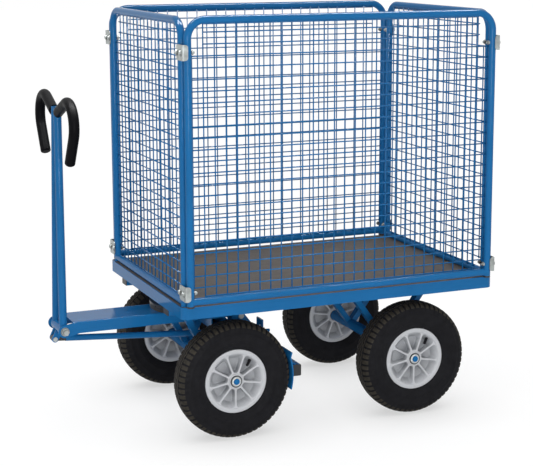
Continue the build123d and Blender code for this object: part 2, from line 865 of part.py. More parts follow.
middle = hook_place * ThreePointArc((-hook_inner_y, inner_z), (0, inner_z - sag), (hook_inner_y, inner_z))
right_edges = hook_side((hook_inner_y, inner_z), hook_tail)
left_edges = [edge.mirror(Plane.XZ) for edge in reversed(right_edges)]
hook_rod = swept(left_edges + [middle] + right_edges, hook_rod_r)
save("hook_rod", hook_rod)

grip_root = (hook_inner_y - grip_r, inner_z - grip_r * hook_rise)
grip_body = swept(hook_side(grip_root, hook_tail + grip_cap), grip_r)
grip_body = fillet(grip_body.faces().sort_by(Axis.Z)[0].edges(), grip_round)
grip_end = block(
    hook_x - 2 * grip_r, hook_x + 2 * grip_r, -grip_r, grip_start_y, inner_z - 2 * grip_r, inner_z + 2 * grip_r
)
grip = grip_body - grip_end - hook_rod
save("grip_right", grip)
save("grip_left", grip.mirror(Plane.XZ))

handle_foot = Vector(pivot_x, handle_base_y, pivot_z)
handle_head = Vector(pivot_x + handle_lean, handle_r + run_fit * 2, handle_top)
handle_line = handle_head - handle_foot
handle_place = Plane(origin=handle_foot, z_dir=handle_line)
low = (Align.CENTER, Align.CENTER, Align.MIN)
handle_tube = handle_place * Cylinder(handle_r, handle_line.length, align=low)
handle_tube -= handle_place * Cylinder(handle_r - handle_wall, handle_line.length - handle_cap, align=low)
handle_tube -= crossbar_body
handle_tube -= hook_rod
save("handle_tubes", *both_sides(handle_tube))

# Brake lever under the crossbar, with the pin that carries the front end of the brake rod

pivot = (pivot_x, pivot_z)
pin = (pin_x, pin_z)
lever_out = lever_inner + lever_plate
lever = link_xz(pivot, lever_root_r, pin, lever_tip_r, lever_inner, lever_out) - crossbar_body
lever -= bar_y(pin_x, pin_z, lever_inner, lever_out, lever_pin_r)
save("brake_lever", *both_sides(lever))
pin_end = lever_out + lever_pin_head
lever_pin = bar_y(pin_x, pin_z, -pin_end, pin_end, lever_pin_r)
for side in (-1, 1):
    lever_pin += bar_y(pin_x, pin_z, side * lever_out, side * pin_end, lever_pin_head_r)
save("lever_pin", lever_pin)

# Brake rod: black end on the lever pin, tube, then a stud that runs through the slotted plate

rod_line = Vector(1, 0, -rod_slope).normalized()
rod_root = Vector(pin_x, 0, pin_z)
rod_plate_x = brake_beam_x + rod_plate / 2
washer_tilt_gap = side_gap + rod_washer_r * rod_slope + rod_washer * rod_slope


def along_rod(x):
    return (x - pin_x) / rod_line.X


def rod_piece(start, end, r):
    place = Plane(origin=rod_root + rod_line * start, z_dir=rod_line)
    return place * Cylinder(r, end - start, align=low)


def rod_hexagon(start, end, r):
    place = Plane(origin=rod_root + rod_line * start, z_dir=rod_line)
    return place * extrude(RegularPolygon(r, 6), amount=end - start)


tube_stop = along_rod(brake_beam_x - stud_reach)
washer_at = along_rod(rod_plate_x + washer_tilt_gap)
nut_at = washer_at + rod_washer
stud_stop = nut_at + rod_nut + rod_stud_tail
rod_end = bar_y(pin_x, pin_z, -rod_end_half, rod_end_half, rod_end_r) + rod_piece(0, rod_neck, rod_r - 1)
rod_end -= bar_y(pin_x, pin_z, -rod_end_half, rod_end_half, lever_pin_r + run_fit)
save("rod_end", rod_end)
stud = rod_piece(tube_stop, stud_stop, rod_stud_r)
save("brake_rod", rod_piece(rod_neck, tube_stop, rod_r) + stud)
rod_ring = rod_piece(washer_at, nut_at, rod_washer_r) - stud
save("rod_nut", rod_ring, rod_hexagon(nut_at, nut_at + rod_nut, rod_nut_r) - stud)

# Brake beam swung on two hangers below the lower turntable plate



def beam_outside(y0, y1):
    return rounded_block(Axis.Y, brake_beam_corner, beam_x0, beam_x1, y0, y1, beam_z0, beam_z1)


beam_solid = beam_outside(-brake_beam_half, brake_beam_half)


def beam_inside(y0, y1):
    return block(
        beam_x0 + brake_beam_wall,
        beam_x1 - brake_beam_wall,
        y0,
        y1,
        beam_z0 + brake_beam_wall,
        beam_z1 - brake_beam_wall,
    )


save("brake_beam", beam_solid - beam_inside(-brake_beam_half, brake_beam_half))
cap = beam_outside(brake_beam_half, brake_beam_half + beam_cap)
cap += beam_inside(brake_beam_half - plug_depth, brake_beam_half)
save("beam_caps", *both_sides(cap))

hanger_at = (hanger_x, hanger_z)
lug_out = hanger_lug_y + hanger_lug
bar_in = lug_out + side_gap
bar_out = bar_in + hanger_bar
lug = block(
    hanger_x - hanger_bar_half, hanger_x + hanger_bar_half, hanger_lug_y, lug_out, hanger_z, drawbar_top
)
lug += bar_y(hanger_x, hanger_z, hanger_lug_y, lug_out, hanger_bar_half)
lug -= bar_y(hanger_x, hanger_z, hanger_lug_y, lug_out, hanger_pin_r)
save("hanger_lugs", *both_sides(lug))
collar_in = bar_out + side_gap
collar_out = collar_in + hanger_pin_head
head_in = hanger_lug_y - hanger_pin_head
hanger_pin = bar_y(hanger_x, hanger_z, head_in, collar_out, hanger_pin_r)
hanger_pin += bar_y(hanger_x, hanger_z, head_in, hanger_lug_y, hanger_pin_head_r)
hanger_pin += bar_y(hanger_x, hanger_z, collar_in, collar_out, hanger_pin_head_r)
save("hanger_pins", *both_sides(hanger_pin))

beam_at = (brake_beam_x, wheel_r)
hanger = link_xz(hanger_at, hanger_bar_half, beam_at, hanger_bar_half, bar_in, bar_out) - beam_solid
hanger -= bar_y(hanger_x, hanger_z, bar_in, bar_out, hanger_pin_r + run_fit)
rod_plate_top = slot_z + rod_slot_high + rod_plate_rim
plate = block(
    brake_beam_x - rod_plate / 2, rod_plate_x, -rod_plate_half, rod_plate_half, beam_z1, rod_plate_top
)
plate -= block(
    brake_beam_x - rod_plate,
    brake_beam_x + rod_plate,
    -rod_slot_half,
    rod_slot_half,
    slot_z - rod_slot_low,
    slot_z + rod_slot_high,
)
save("brake_hangers", plate, *both_sides(hanger))

# Brake shoes: plates curved round the tyres, the upper tip bent off, on a block and a gusset before the beam

shoe_y0 = wheel_y - shoe_width / 2
shoe_mid = shoe_in + shoe_thick / 2
shoe_place = Plane(origin=(front_axle_x, wheel_y, wheel_r), x_dir=(1, 0, 0), z_dir=(0, -1, 0))
shoe_curve = CenterArc((0, 0), shoe_mid, -shoe_below, shoe_below + shoe_above)
tip_bend = JernArc(shoe_curve @ 1, shoe_curve % 1, shoe_bend, -shoe_tip_turn)
shoe_end = Line(tip_bend @ 1, tip_bend @ 1 + tip_bend % 1 * shoe_tip)
shoe_path = Wire([shoe_place * edge for edge in (shoe_curve, tip_bend, shoe_end)])
strip = Plane(origin=shoe_path @ 0, x_dir=(0, 1, 0), z_dir=shoe_path % 0) * Rectangle(shoe_width, shoe_thick)
shoe = sweep(strip, path=shoe_path)
ahead = bar_y(front_axle_x, wheel_r, shoe_y0, shoe_y0 + shoe_width, shoe_mid)
tyre_rear_x = front_axle_x + wheel_r
seat = block(
    tyre_rear_x, beam_x0, shoe_y0, brake_beam_half, wheel_r - shoe_block_half, wheel_r + shoe_block_half
)
gusset_tip = shoe_place * shoe_curve @ 1
gusset_points = [
    (brake_beam_x, beam_z1),
    (beam_x0, beam_z1),
    (beam_x0, wheel_r),
    (tyre_rear_x, wheel_r),
    (gusset_tip.X, gusset_tip.Z),
]
gusset_y = wheel_y - gusset_in
gusset = plate_xz(gusset_points, gusset_y - gusset_thick, gusset_y)
shoe += seat - ahead
shoe += gusset - ahead
save("brake_shoes", *both_sides(shoe))
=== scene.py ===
import json
from math import atan2, cos, hypot, pi, radians, sin

import bmesh
import bpy
from mathutils import Matrix, Quaternion, Vector


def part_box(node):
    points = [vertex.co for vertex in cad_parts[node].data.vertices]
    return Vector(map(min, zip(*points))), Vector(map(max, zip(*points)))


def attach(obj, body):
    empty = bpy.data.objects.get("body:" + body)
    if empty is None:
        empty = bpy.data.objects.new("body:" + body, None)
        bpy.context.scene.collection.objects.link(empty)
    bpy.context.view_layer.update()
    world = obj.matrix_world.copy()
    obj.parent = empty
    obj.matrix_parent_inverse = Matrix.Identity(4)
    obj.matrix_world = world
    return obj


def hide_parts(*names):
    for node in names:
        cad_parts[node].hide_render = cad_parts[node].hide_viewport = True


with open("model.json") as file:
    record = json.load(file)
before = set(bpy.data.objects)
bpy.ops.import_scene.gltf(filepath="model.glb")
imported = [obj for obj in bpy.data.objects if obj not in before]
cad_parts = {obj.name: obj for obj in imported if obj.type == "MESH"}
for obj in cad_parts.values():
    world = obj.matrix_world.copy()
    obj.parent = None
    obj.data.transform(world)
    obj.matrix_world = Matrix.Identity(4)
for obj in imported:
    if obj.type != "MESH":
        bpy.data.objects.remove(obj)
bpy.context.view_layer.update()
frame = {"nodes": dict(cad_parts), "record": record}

scene = bpy.context.scene

# Lengths are in metres, and the wheels' profiles in millimetres

mm = 0.001
corners = ("front_left", "front_right", "rear_left", "rear_right")
panels = ("left", "right", "front", "rear")
nodes = frame["nodes"]


def centre(node):
    low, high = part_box(node)
    return (Vector(low) + Vector(high)) / 2


def put(name, data):
    """A new object in the scene."""
    thing = bpy.data.objects.new(name, data)
    scene.collection.objects.link(thing)
    return thing


deck_centre = centre("deck_frame")

# Camera at the photograph's angle

image_width = 533
image_height = 466
focal_pixels = 1450.6
axis_pixel = (282.0, 200.0)
camera_offset = Vector((-2.0784, -4.7213, 1.6565))
camera_yaw = radians(-23.172)
camera_pitch = radians(10.191)
camera_roll = radians(-0.084)
sensor = 36.0
clip_far = 100


def make_camera():
    data = bpy.data.cameras.new("camera")
    data.sensor_width = sensor
    data.lens = sensor * focal_pixels / image_width
    data.shift_x = (image_width / 2 - axis_pixel[0]) / image_width
    data.shift_y = (axis_pixel[1] - image_height / 2) / image_width
    data.clip_end = clip_far
    camera = put("camera", data)
    level = cos(camera_pitch)
    back = Vector((sin(camera_yaw) * level, -cos(camera_yaw) * level, sin(camera_pitch)))
    camera.rotation_mode = "QUATERNION"
    turn = (-back).to_track_quat("-Z", "Y") @ Quaternion((0, 0, 1), camera_roll)
    camera.rotation_quaternion = turn
    camera.location = Vector((deck_centre.x, 0, 0)) + camera_offset
    scene.camera = camera


# Materials

noise_low = 0.3
noise_high = 0.7
noise_rough = 0.55
# Painted shade in hollows: ambient occlusion from full shade to none, its samples, and how far it reaches
# in the rims and zinc parts
hollow_shade_full = 0.35
hollow_shade_none = 0.9
hollow_shade_samples = 12
rim_shade_reach = 32 * mm
plate_shade_reach = 70 * mm


class Surface:
    """A node material with its shader and a few short ways to add to it."""

    def __init__(self, name, colour, roughness, metallic=0.0, specular=0.5):
        self.material = bpy.data.materials.new(name)
        self.material.use_nodes = True
        self.tree = self.material.node_tree
        self.shader = self.tree.nodes["Principled BSDF"]
        self.colour = colour
        self.shader.inputs["Base Color"].default_value = (*colour, 1)
        self.shader.inputs["Roughness"].default_value = roughness
        self.shader.inputs["Metallic"].default_value = metallic
        self.shader.inputs["Specular IOR Level"].default_value = specular
        self.place = self.tree.nodes.new("ShaderNodeTexCoord").outputs["Object"]

    def add(self, kind, **values):
        node = self.tree.nodes.new(kind)
        for key, value in values.items():
            setattr(node, key, value)
        return node

    def join(self, source, target):
        self.tree.links.new(source, target)

    def noise(self, scale, detail=3.0, stretch=None):
        node = self.add("ShaderNodeTexNoise")
        node.inputs["Scale"].default_value = scale
        node.inputs["Detail"].default_value = detail
        node.inputs["Roughness"].default_value = noise_rough
        source = self.place
        if stretch:
            mapping = self.add("ShaderNodeMapping")
            mapping.inputs["Scale"].default_value = stretch
            self.join(source, mapping.inputs["Vector"])
            source = mapping.outputs["Vector"]
        self.join(source, node.inputs["Vector"])
        return node.outputs["Fac"]

    def ramp(self, source, stops):
        node = self.add("ShaderNodeValToRGB")
        elements = node.color_ramp.elements
        while len(elements) < len(stops):
            elements.new(0.5)
        for element, (place, colour) in zip(elements, stops):
            element.position = place
            element.color = (*colour, 1)
        self.join(source, node.inputs["Fac"])
        return node.outputs["Color"]

    def spread(self, source, low, high):
        node = self.add("ShaderNodeMapRange")
        node.inputs["From Min"].default_value = noise_low
        node.inputs["From Max"].default_value = noise_high
        node.inputs["To Min"].default_value = low
        node.inputs["To Max"].default_value = high
        self.join(source, node.inputs["Value"])
        return node.outputs["Result"]

    def bump(self, source, strength, depth):
        node = self.add("ShaderNodeBump")
        node.inputs["Strength"].default_value = strength
        node.inputs["Distance"].default_value = depth
        self.join(source, node.inputs["Height"])
        self.join(node.outputs["Normal"], self.shader.inputs["Normal"])

    def tint(self, colour):
        self.join(colour, self.shader.inputs["Base Color"])

    def shades(self, scale, amount, stretch=None):
        """Colour that wanders a little round its written value."""
        dark = tuple(c * (1 - amount) for c in self.colour)
        pale = tuple(min(1, c * (1 + amount)) for c in self.colour)
        source = self.noise(scale, stretch=stretch)
        self.tint(self.ramp(source, [(noise_low, dark), (noise_high, pale)]))

    def blend(self, share, colour):
        """Lays another colour over the one that leads to the shader, by a share from nought to one."""
        node = self.add("ShaderNodeMix", data_type="RGBA")
        sockets = {socket.identifier: socket for socket in (*node.inputs, *node.outputs)}
        under = self.shader.inputs["Base Color"].links[0].from_socket
        self.join(share, sockets["Factor_Float"])
        self.join(under, sockets["A_Color"])
        if isinstance(colour, tuple):
            sockets["B_Color"].default_value = (*colour, 1)
        else:
            self.join(colour, sockets["B_Color"])
        self.tint(sockets["Result_Color"])

    def hollow_shade(self, distance, colour):
        """Painted shade: a darker colour laid in hollows, where ambient occlusion finds surfaces within a
        given distance.
        """
        hollow = self.add("ShaderNodeAmbientOcclusion", samples=hollow_shade_samples)
        hollow.inputs["Distance"].default_value = distance
        depth = self.add("ShaderNodeMapRange")
        depth.inputs["From Min"].default_value = hollow_shade_full
        depth.inputs["From Max"].default_value = hollow_shade_none
        depth.inputs["To Min"].default_value = 1.0
        depth.inputs["To Max"].default_value = 0.0
        self.join(hollow.outputs["AO"], depth.inputs["Value"])
        self.blend(depth.outputs["Result"], colour)

    def gloss(self, scale, low, high):
        self.join(self.spread(self.noise(scale), low, high), self.shader.inputs["Roughness"])


def srgb(r, g, b):
    def linear(value):
        value /= 255
        return value / 12.92 if value <= 0.04045 else ((value + 0.055) / 1.055) ** 2.4

    return (linear(r), linear(g), linear(b))


def paint_blue():
    surface = Surface("blue_powder_coat", srgb(30, 108, 167), roughness=0.1, specular=0.09)
    surface.shades(scale=5, amount=0.05)
    surface.gloss(scale=40, low=0.07, high=0.14)
    surface.bump(surface.noise(scale=160, detail=2), strength=0.008, depth=0.1 * mm)
    return surface.material


def film_board():
    surface = Surface("film_faced_board", srgb(101, 95, 90), roughness=0.5, specular=0.04)
    surface.shades(scale=9, amount=0.07, stretch=(0.6, 6, 6))
    surface.gloss(scale=30, low=0.46, high=0.54)
    surface.bump(surface.noise(scale=420, detail=4), strength=0.12, depth=0.3 * mm)
    return surface.material


def zinc_plate():
    surface = Surface("zinc_plate", srgb(166, 172, 171), roughness=0.4, metallic=0.5)
    spangle = [(0.30, srgb(146, 151, 150)), (0.52, srgb(166, 172, 171)), (0.72, srgb(188, 194, 193))]
    surface.tint(surface.ramp(surface.noise(scale=60, detail=4), spangle))
    surface.gloss(scale=120, low=0.32, high=0.5)
    surface.bump(surface.noise(scale=500), strength=0.08, depth=0.15 * mm)
    # Painted shade: the zinc parts darken in their hollows towards srgb(56, 54, 50)
    surface.hollow_shade(plate_shade_reach, srgb(56, 54, 50))
    return surface.material


def bright_zinc():
    surface = Surface("bright_zinc", srgb(196, 200, 200), roughness=0.35, metallic=0.5)
    surface.shades(scale=200, amount=0.06)
    surface.gloss(scale=150, low=0.28, high=0.42)
    surface.bump(surface.noise(scale=600), strength=0.06, depth=0.1 * mm)
    return surface.material


# Painted shade: a dark metal that stands in for the shade on the turntable plates under the frame
def painted_shade_plate():
    surface = Surface("painted_shade_plate", srgb(62, 60, 56), roughness=0.38, metallic=0.4)
    surface.shades(scale=45, amount=0.25)
    surface.gloss(scale=90, low=0.25, high=0.5)
    surface.bump(surface.noise(scale=300), strength=0.10, depth=0.2 * mm)
    return surface.material


def tyre_rubber():
    surface = Surface("tyre_rubber", srgb(25, 25, 28), roughness=0.72, specular=0.1)
    surface.shades(scale=26, amount=0.18)
    surface.gloss(scale=70, low=0.60, high=0.80)
    surface.bump(surface.noise(scale=700, detail=4), strength=0.22, depth=0.3 * mm)
    worn = surface.add("ShaderNodeAttribute", attribute_name="worn")
    dust = [(noise_low, srgb(44, 42, 38)), (noise_high, srgb(62, 58, 52))]
    surface.blend(worn.outputs["Fac"], surface.ramp(surface.noise(scale=90, detail=4), dust))
    return surface.material


def rim_plastic():
    surface = Surface("rim_plastic", srgb(200, 202, 206), roughness=0.42)
    surface.shades(scale=30, amount=0.03)
    surface.gloss(scale=60, low=0.36, high=0.48)
    surface.bump(surface.noise(scale=800, detail=2), strength=0.08, depth=0.2 * mm)
    # Painted shade: the rim's pockets darken towards srgb(112, 115, 120)
    surface.hollow_shade(rim_shade_reach, srgb(112, 115, 120))
    return surface.material


def black_plastic():
    surface = Surface("black_plastic", srgb(26, 26, 28), roughness=0.5)
    surface.shades(scale=80, amount=0.15)
    surface.gloss(scale=120, low=0.42, high=0.58)
    surface.bump(surface.noise(scale=1200), strength=0.12, depth=0.2 * mm)
    return surface.material


def grip_vinyl():
    surface = Surface("grip_vinyl", srgb(14, 14, 17), roughness=0.45, specular=0.04)
    surface.shades(scale=60, amount=0.12)
    surface.gloss(scale=50, low=0.38, high=0.5)
    surface.bump(surface.noise(scale=650), strength=0.10, depth=0.2 * mm)
    return surface.material


def bearing_steel():
    surface = Surface("bearing_steel", srgb(96, 97, 100), roughness=0.4, metallic=0.9)
    surface.shades(scale=200, amount=0.2)
    surface.gloss(scale=150, low=0.3, high=0.5)
    return surface.material


materials = {
    "blue_paint": paint_blue(),
    "board": film_board(),
    "zinc": zinc_plate(),
    "tyre_rubber": tyre_rubber(),
    "rim_plastic": rim_plastic(),
    "black_plastic": black_plastic(),
    "grip": grip_vinyl(),
    "bearing_steel": bearing_steel(),
}
# Turntable plates that take the painted shade material
shade_plates = ("upper_plate", "lower_plate")


def dress_nodes():
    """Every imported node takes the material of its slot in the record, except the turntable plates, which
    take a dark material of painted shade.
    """
    plate_shade = painted_shade_plate()
    for part in frame["record"]["subparts"]:
        mesh = nodes[part["node"]].data
        mesh.materials.clear()
        mesh.materials.append(plate_shade if part["node"] in shade_plates else materials[part["material_slot"]])


# New pieces


def piece(name, mesh_data, body, slot):
    thing = put(name, mesh_data)
    mesh_data.materials.append(materials[slot])
    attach(thing, body)
    return thing


def wheel_place(corner):
    """From a wheel drawn flat with its outer face up to its place in the row frame."""
    outward = -1 if corner.endswith("left") else 1
    return Matrix.Translation(centre(f"rim_{corner}")) @ Matrix.Rotation(-outward * pi / 2, 4, "X")


def join_rings(mesh, ring, following):
    """Adds to a mesh a closed band of faces between two rings of vertices."""
    for four in zip(ring, ring[1:] + ring[:1], following[1:] + following[:1], following):
        mesh.faces.new(four)


def tube(mesh, points, radii, sides):
    """Adds to a mesh a tube along a path, one ring of vertices for each point, closed at both ends."""
    last = len(points) - 1
    rings = []
    across = None
    for k, (point, radius) in enumerate(zip(points, radii)):
        along = (points[min(k + 1, last)] - points[max(k - 1, 0)]).normalized()
        if across is None:
            across = along.orthogonal()
        across = (across - along * across.dot(along)).normalized()
        other = along.cross(across)
        ring = []
        for side in range(sides):
            turn = 2 * pi * side / sides
            ring.append(mesh.verts.new(point + (across * cos(turn) + other * sin(turn)) * radius))
        rings.append(ring)
    for ring, following in zip(rings, rings[1:]):
        join_rings(mesh, ring, following)
    mesh.faces.new(rings[0][::-1])
    mesh.faces.new(rings[-1])


def finished(mesh, name, crease_angle=None):
    bmesh.ops.recalc_face_normals(mesh, faces=mesh.faces)
    data = bpy.data.meshes.new(name)
    mesh.to_mesh(data)
    mesh.free()
    data.polygons.foreach_set("use_smooth", [True] * len(data.polygons))
    data.update()
    if crease_angle:
        data.set_sharp_from_angle(angle=radians(crease_angle))
    return data


# Tyres: ribbed crown, shoulder lugs and smooth side walls, swept round the axle

lug_count = 60
# Where the rings of one lug lie along its pitch, and which of them lie on the lug
lug_steps = (0.02, 0.24, 0.30, 0.63, 0.96)
lug_on = (False, False, True, True, True)
zigzag = 3.2
zigzag_start = 0.13
shoulder_start = 22.6
tyre_crease = 32
tyre_stations = (
    # width, radius on a lug or rib, radius in a groove, share of the zigzag, whether the next band is worn
    (0.0, 200.0, 200.0, 1.0, True),
    (4.6, 200.0, 200.0, 1.0, False),
    (5.6, 194.5, 194.5, 1.0, False),
    (8.2, 194.5, 194.5, 1.0, False),
    (9.2, 199.8, 199.8, 1.0, True),
    (17.4, 199.2, 199.2, 1.0, False),
    (18.6, 193.8, 193.8, 0.8, False),
    (21.4, 193.6, 193.6, 0.5, False),
    (22.6, 198.6, 195.4, 0.3, True),
    (30.0, 196.8, 194.2, 0.1, True),
    (37.0, 193.0, 190.4, 0.0, True),
    (41.6, 188.4, 185.8, 0.0, True),
    (44.0, 184.4, 182.0, 0.0, False),
    (45.6, 180.0, 178.2, 0.0, False),
    (47.4, 173.6, 172.8, 0.0, False),
    (48.7, 166.4, 166.4, 0.0, False),
    (49.5, 165.4, 165.4, 0.0, False),
    (49.7, 163.4, 163.4, 0.0, False),
    (49.3, 162.4, 162.4, 0.0, False),
    (49.8, 151.0, 151.0, 0.0, False),
    (49.3, 140.2, 140.2, 0.0, False),
    (49.7, 139.2, 139.2, 0.0, False),
    (49.4, 137.4, 137.4, 0.0, False),
    (48.6, 136.8, 136.8, 0.0, False),
    (46.6, 128.0, 128.0, 0.0, False),
    (43.0, 120.4, 120.4, 0.0, False),
    (40.0, 115.6, 115.6, 0.0, False),
    (38.4, 112.0, 112.0, 0.0, False),
    (33.2, 110.4, 110.4, 0.0, False),
    (28.6, 111.6, 111.6, 0.0, False),
    (31.4, 122.4, 122.4, 0.0, False),
    (36.4, 136.0, 136.0, 0.0, False),
    (37.6, 151.0, 151.0, 0.0, False),
    (35.4, 165.0, 165.0, 0.0, False),
    (29.0, 176.0, 176.0, 0.0, False),
    (18.0, 182.0, 182.0, 0.0, False),
    (6.0, 183.6, 183.6, 0.0, False),
)


def tyre_mesh(name):
    outer = list(tyre_stations)
    inner = [(-width, top, low, share) for width, top, low, share, _ in reversed(outer[1:])]
    full = inner + [station[:4] for station in outer]
    bands = [station[4] for station in reversed(outer[:-1])] + [station[4] for station in outer[:-1]]
    mesh = bmesh.new()
    worn = mesh.faces.layers.float.new("worn")
    rings = []
    for lug in range(lug_count):
        for step, on in zip(lug_steps, lug_on):
            angle = 2 * pi * (lug + step) / lug_count
            # Runs from -1 to 1 and back along each lug
            swing = abs(((step - zigzag_start) % 1.0) - 0.5) * 4 - 1
            ring = []
            for width, top, low, share in full:
                radius = (top if on else low) * mm
                across = (width - swing * zigzag * share) * mm
                ring.append(mesh.verts.new((radius * cos(angle), radius * sin(angle), across)))
            rings.append((ring, on))
    for (ring, on), (following, also) in zip(rings, rings[1:] + rings[:1]):
        for k, (a, b, c, d) in enumerate(zip(ring, ring[1:], following[1:], following)):
            face = mesh.faces.new((a, d, c, b))
            shoulder = max(abs(full[k][0]), abs(full[k + 1][0])) > shoulder_start
            face[worn] = float(bands[k] and (on and also or not shoulder))
        mesh.faces.new((ring[-1], following[-1], following[0], ring[0]))
    return finished(mesh, name, tyre_crease)


def make_tyres():
    for corner in corners:
        data = tyre_mesh(f"tread_{corner}")
        data.transform(wheel_place(corner))
        tyre = piece(f"tread_{corner}", data, f"wheel_{corner}", "tyre_rubber")
        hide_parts(f"tyre_{corner}")


# Rims: a moulded face on either side with rounded pockets between ribs

pocket_count = 9
pocket_turn = radians(290)
pocket_middle = 60.0
# Outlines: outer radius, inner radius, width of the rib between two pockets
pocket_mouth = (93.0, 29.0, 6.0)
pocket_floor = (77.0, 31.0, 9.0)
pocket_edge = (95.0, 27.0, 0.0)
flange_round = 10.0
hub_round = 5.0
pocket_steps = (9, 12, 3)
face_height = 36.0
reach_fit = 1e-4
edge_fit = 0.01 * mm
seam_fit = 0.02 * mm
rim_crease = 40
pocket_rings = (
    # outline, how far outside it, height
    (pocket_mouth, 1.5, face_height),
    (pocket_mouth, 0.6, 35.7),
    (pocket_mouth, 0.0, 35.0),
    (pocket_mouth, -0.4, 33.8),
    (pocket_floor, 0.4, 15.0),
    (pocket_floor, -0.6, 13.2),
    (pocket_floor, -2.4, 12.2),
    (pocket_floor, -5.0, 12.0),
)
flange_profile = (
    # radius, height
    (95.6, 37.2), (96.8, 38.0), (107.6, 38.0), (109.3, 37.4), (110.0, 35.8), (110.0, 33.4), (109.6, 33.0),
    (100.0, 33.0), (100.0, 0.0),
)
hub_profile = (
    # radius, height
    (26.0, 36.4), (25.3, 37.6), (25.0, 39.0), (24.2, 40.0), (21.6, 40.0), (21.0, 39.4), (21.0, 25.0),
    (18.0, 25.0), (18.0, 0.0),
)


def rounded(a, b, radius):
    """Distance from the overlap of two shapes with its corner rounded, positive outside."""
    return min(-radius, max(a, b)) + hypot(max(radius + a, 0), max(radius + b, 0))


def pocket_reach(outline, beyond, turn, flange, hub):
    """How far a pocket's outline lies from the pocket's middle in one direction."""
    outer, inner, rib = outline
    half = pi / pocket_count
    near, far = 0.0, outer
    while far - near > reach_fit:
        reach = (near + far) / 2
        x = pocket_middle + reach * cos(turn)
        y = abs(reach * sin(turn))
        side = rib / 2 - (x * sin(half) - y * cos(half))
        edge = rounded(rounded(side, hypot(x, y) - outer, flange), inner - hypot(x, y), hub)
        if edge > beyond:
            far = reach
        else:
            near = reach
    return near


def pocket_turns():
    """Directions from a pocket's middle, two of them through each end of a rib."""
    half = pi / pocket_count
    marks = [0.0]
    for radius in pocket_edge[:2]:
        marks.append(atan2(radius * sin(half), radius * cos(half) - pocket_middle))
    marks.append(pi)
    turns = []
    for start, end, steps in zip(marks, marks[1:], pocket_steps):
        turns += [start + (end - start) * k / steps for k in range(steps)]
    return turns + [pi] + [-turn for turn in reversed(turns[1:])]


def rim_half(mesh, side):
    turns = pocket_turns()
    loops = [[(pocket_reach(pocket_edge, 0.0, turn, 0.0, 0.0), face_height) for turn in turns]]
    for outline, beyond, height in pocket_rings:
        reaches = [pocket_reach(outline, beyond, turn, flange_round, hub_round) for turn in turns]
        loops.append([(reach, height) for reach in reaches])
    for pocket in range(pocket_count):
        spin = pocket_turn + 2 * pi * pocket / pocket_count

        def vertex(reach, turn, height):
            x = pocket_middle + reach * cos(turn)
            y = reach * sin(turn)
            place = (x * cos(spin) - y * sin(spin), x * sin(spin) + y * cos(spin), side * height)
            return mesh.verts.new([value * mm for value in place])

        rings = []
        for loop in loops:
            rings.append([vertex(reach, turn, height) for (reach, height), turn in zip(loop, turns)])
        for ring, following in zip(rings, rings[1:]):
            join_rings(mesh, ring, following)
        mesh.faces.new(rings[-1])
        edge = rings[0]
        for pair in zip(edge, edge[1:] + edge[:1]):
            ends = [vert.co for vert in pair]
            for profile, radius in ((flange_profile, pocket_edge[0]), (hub_profile, pocket_edge[1])):
                if all(abs(hypot(end.x, end.y) - radius * mm) < edge_fit for end in ends):
                    band = pair
                    for reach, height in profile:
                        step = []
                        for end in ends:
                            grown = end * (reach / radius)
                            step.append(mesh.verts.new((grown.x, grown.y, side * height * mm)))
                        mesh.faces.new((*band, *reversed(step)))
                        band = step


def rim_mesh(name):
    mesh = bmesh.new()
    for side in (1, -1):
        rim_half(mesh, side)
    bmesh.ops.remove_doubles(mesh, verts=mesh.verts, dist=seam_fit)
    return finished(mesh, name, rim_crease)


def make_rims():
    for corner in corners:
        data = rim_mesh(f"moulded_rim_{corner}")
        data.transform(wheel_place(corner))
        rim = piece(f"moulded_rim_{corner}", data, f"wheel_{corner}", "rim_plastic")
        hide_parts(f"rim_{corner}")


# Collars: a notched ring pressed on each spindle end over its washer

collar_profile = (
    # radius, height
    (10.2, 40.4), (15.8, 40.4), (16.5, 41.2), (16.3, 42.6),
    (15.0, 43.9), (12.6, 44.4), (10.8, 43.8), (10.2, 42.6),
)
collar_steps = 48
collar_notches = 6
notch_top = 42.0
notch_inside = 14.0
notch_steps = 2
collar_crease = 40


def make_collars():
    bright = bright_zinc()
    for corner in corners:
        mesh = bmesh.new()
        rings = []
        for step in range(collar_steps):
            angle = 2 * pi * step / collar_steps
            notched = step % (collar_steps // collar_notches) < notch_steps
            ring = []
            for radius, height in collar_profile:
                height = min(height, notch_top) if notched and radius > notch_inside else height
                place = (radius * cos(angle), radius * sin(angle), height)
                ring.append(mesh.verts.new([value * mm for value in place]))
            rings.append(ring)
        for ring, following in zip(rings, rings[1:] + rings[:1]):
            join_rings(mesh, ring, following)
        data = finished(mesh, f"collar_{corner}", collar_crease)
        data.transform(wheel_place(corner))
        carrier = "steering" if corner.startswith("front") else "chassis"
        collar = piece(f"collar_{corner}", data, carrier, "zinc")
        collar.data.materials[0] = bright


# Valves: a rubber stem with a wider foot and a cap, leaning out of a rim pocket

valve_turn = 50
valve_lean = 25
valve_sides = 16
valve_root = (93.0, 20.5)
valve_profile = (
    # radius, distance along the stem
    (6.5, 0), (6.5, 3), (5.0, 4), (5.0, 18), (4.2, 19), (4.2, 21), (4.9, 21.5), (4.9, 32), (4.0, 33),
)


def make_valves():
    for corner in corners:
        mesh = bmesh.new()
        lean = radians(valve_lean)
        line = Vector((-cos(lean), 0, sin(lean)))
        root = Vector((valve_root[0], 0, valve_root[1]))
        points = [(root + line * reach) * mm for _, reach in valve_profile]
        tube(mesh, points, [radius * mm for radius, _ in valve_profile], valve_sides)
        data = finished(mesh, f"valve_{corner}")
        data.transform(wheel_place(corner) @ Matrix.Rotation(radians(valve_turn), 4, "Z"))
        piece(f"valve_{corner}", data, f"wheel_{corner}", "tyre_rubber")


# Mesh panels: each drawn wire becomes a round one with a weld nugget at every crossing

wire_sides = 10
wire_grow = 0.2 * mm
wire_sink = 1.5 * mm
nugget = 2.5 * mm
point_fit = 0.01 * mm
upright_axis = 2


